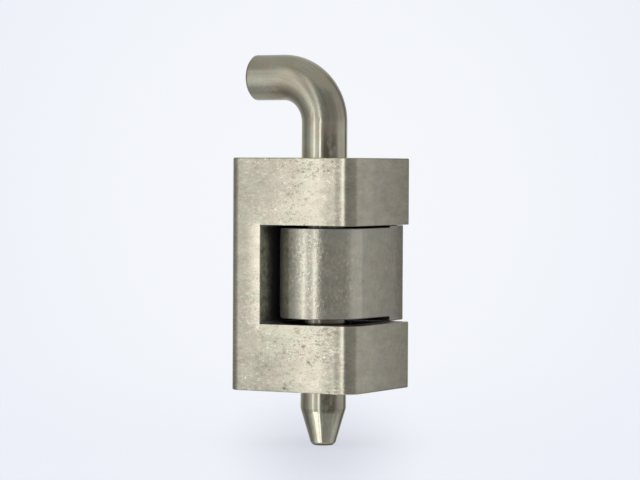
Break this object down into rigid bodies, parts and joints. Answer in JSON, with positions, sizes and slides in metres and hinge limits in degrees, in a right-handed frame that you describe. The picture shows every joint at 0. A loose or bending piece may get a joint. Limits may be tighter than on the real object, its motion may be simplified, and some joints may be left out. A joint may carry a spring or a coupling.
{
  "type": "concealed hinge",
  "caption": "Concealed cabinet hinge: C-shaped stainless block, round-nosed leaf swinging in its slot, and a bent lift-out pin with a tapered tip.",
  "frame": {"origin": "middle of the body's screw pattern, on its back face", "axes": "+Z along the pin towards its bent handle, +Y out of the body's back face, +X away from the spine"},
  "size_m": [0.0184, 0.0185, 0.0514],
  "materials": {
    "body_steel": "satin cast stainless, fine tumbled grain with small pits",
    "leaf_steel": "satin stainless with a fine upright grain",
    "pin_steel": "drawn stainless rod with faint lengthwise streaks"
  },
  "bodies": {
    "body": {"hinge_body": "body_steel"},
    "leaf": {"hinge_leaf": "leaf_steel"},
    "pin": {"hinge_pin": "pin_steel"}
  },
  "joints": [
    {"name": "leaf_swing", "type": "hinge", "parent": "body", "child": "leaf", "pos_m": [0.00165, -0.0102, 0], "axis": [0, 0, -1], "range_deg": [0, 180]},
    {"name": "pin_lift", "type": "slide", "parent": "body", "child": "pin", "axis": [0, 0, 1], "range_m": [-0.0045, 0.038]}
  ]
}
